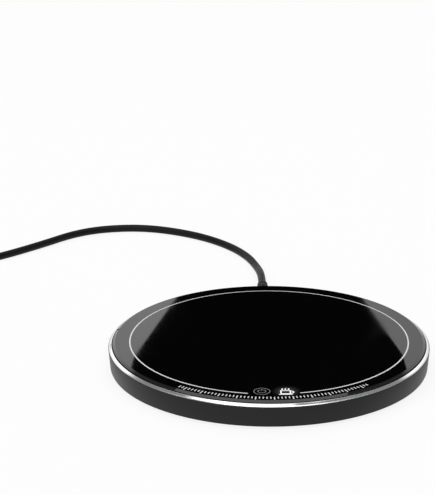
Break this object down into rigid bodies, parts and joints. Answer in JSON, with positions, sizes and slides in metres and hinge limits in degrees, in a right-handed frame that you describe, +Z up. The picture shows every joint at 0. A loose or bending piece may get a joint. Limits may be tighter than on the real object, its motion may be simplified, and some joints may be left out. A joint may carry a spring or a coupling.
{
  "type": "electric mug warmer",
  "caption": "Round electric mug warmer: a black glass heating plate on springs in a low casing, with a bright rim, a touch key, a lit cup mark and a coiled low-voltage lead.",
  "frame": {"origin": "on the plane the feet stand on, at the axis of the round pad", "axes": "+Z up, through the glass; the touch key and the cup lamp face the user at -Y; the lead leaves at +Y"},
  "size_m": [0.2145, 0.2082, 0.01],
  "materials": {
    "housing_plastic": "satin moulded",
    "bright_ring": "polished, bright bevel",
    "cover_plastic": "fine-grained moulded",
    "foot_rubber": "matte",
    "screw_steel": "zinc plated",
    "black_glass": "polished, black behind",
    "white_print": "fired print",
    "grey_print": "fired print, dim",
    "lit_print": "translucent print, lit from behind",
    "foam_tape": "foam",
    "carrier_plastic": "heat-resistant moulded",
    "clear_acrylic": "clear, polished",
    "spreader_metal": "rolled sheet",
    "amber_film": "amber film",
    "track_metal": "etched foil",
    "fibre_pad": "pressed fibre",
    "retainer_steel": "galvanised sheet",
    "sensor_ceramic": "dark, matte",
    "tinned_wire": "tinned",
    "fuse_ceramic": "matte",
    "board_green": "solder mask",
    "package_black": "moulded package",
    "ferrite": "ferrite",
    "capacitor_ceramic": "tan ceramic",
    "resistor_black": "glossy top",
    "socket_plastic": "ivory moulded",
    "led_resin": "resin lens",
    "plunger_plastic": "moulded",
    "spring_wire": "bright spring wire",
    "plated_wire": "gold plated wire",
    "wire_red": "insulation",
    "wire_black": "insulation",
    "wire_white": "heat-resistant sleeve",
    "cord_jacket": "smooth jacket",
    "strap_fabric": "woven strap",
    "plug_plastic": "satin moulded",
    "plug_steel": "nickel plated",
    "tongue_plastic": "moulded",
    "contact_gold": "gold plated"
  },
  "bodies": {
    "base": {"housing": "housing_plastic", "trim_ring": "bright_ring", "base_cover": "cover_plastic", "foot_pads": "foot_rubber", "cover_screws": "screw_steel", "control_board": "board_green", "board_screws": "screw_steel", "control_chip": "package_black", "power_transistors": "package_black", "inductor": "ferrite", "capacitors": "capacitor_ceramic", "resistors": "resistor_black", "supply_socket": "socket_plastic", "heater_socket": "socket_plastic", "lamp_led": "led_resin", "key_led": "led_resin", "switch_body": "package_black", "supply_wire_red": "wire_red", "supply_wire_black": "wire_black", "heater_wires": "wire_white", "return_springs": "spring_wire", "touch_key_spring": "plated_wire", "strain_relief": "cord_jacket", "cord_tail": "cord_jacket", "power_cord": "cord_jacket", "cord_coil": "cord_jacket", "coil_tie": "strap_fabric", "cord_end": "cord_jacket", "plug_body": "plug_plastic", "plug_shell": "plug_steel", "plug_tongue": "tongue_plastic", "plug_contacts": "contact_gold"},
    "heated_top": {"glass_top": "black_glass", "printed_circle": "white_print", "printed_scale": "white_print", "touch_key_mark": "grey_print", "cup_lamp_mark": "lit_print", "glass_tape": "foam_tape", "top_carrier": "carrier_plastic", "guide_screws": "screw_steel", "light_guide": "clear_acrylic", "heat_spreader": "spreader_metal", "heater_film": "amber_film", "heater_track": "track_metal", "insulation_pad": "fibre_pad", "heater_retainer": "retainer_steel", "retainer_screws": "screw_steel", "temperature_sensor": "sensor_ceramic", "sensor_leads": "tinned_wire", "thermal_fuse": "fuse_ceramic"},
    "switch_plunger": {"switch_plunger": "plunger_plastic"}
  },
  "joints": [
    {"name": "plate_press", "type": "slide", "parent": "base", "child": "heated_top", "axis": [0, 0, -1], "range_m": [0, 0.0006], "stiffness_N_per_m": 2400, "springref_m": -0.0008, "deforming": ["return_springs", "touch_key_spring", "heater_wires"]},
    {"name": "switch_travel", "type": "slide", "parent": "base", "child": "switch_plunger", "axis": [0, 0, -1], "range_m": [0, 0.0006]}
  ],
  "couplings": [
    {"joint": "switch_travel", "follows": "plate_press", "ratio": 1}
  ]
}
